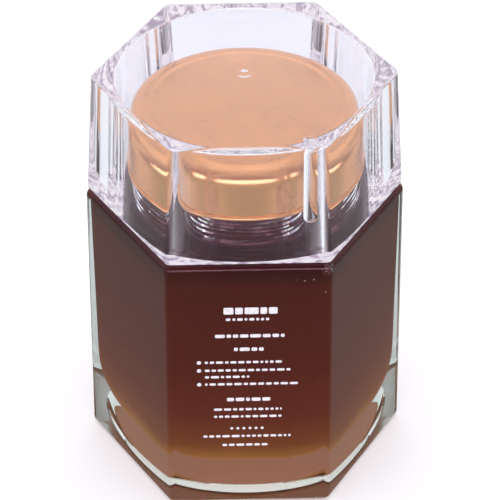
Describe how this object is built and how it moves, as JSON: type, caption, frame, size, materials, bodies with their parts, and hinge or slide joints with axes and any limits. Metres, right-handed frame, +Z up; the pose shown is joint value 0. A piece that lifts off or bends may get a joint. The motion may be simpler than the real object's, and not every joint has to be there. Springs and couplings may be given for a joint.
{
  "type": "honey jar",
  "caption": "Hexagonal glass jar of dark honey with a gold metal lid, under a clear hexagonal plastic cap.",
  "frame": {"origin": "middle of the jar's base, on the plane that it rests on", "axes": "+Z up, -Y out of the printed front flat, +X to the right seen from the front"},
  "size_m": [0.0734, 0.064, 0.0998],
  "materials": {
    "glass": "clear, polished",
    "honey": "dark amber, glossy",
    "gold_metal": "satin lacquered",
    "clear_plastic": "clear, moulded, lightly scratched"
  },
  "bodies": {
    "root": {"glass_jar": "glass", "honey": "honey", "gold_lid": "gold_metal", "clear_cap": "clear_plastic"}
  },
  "joints": []
}
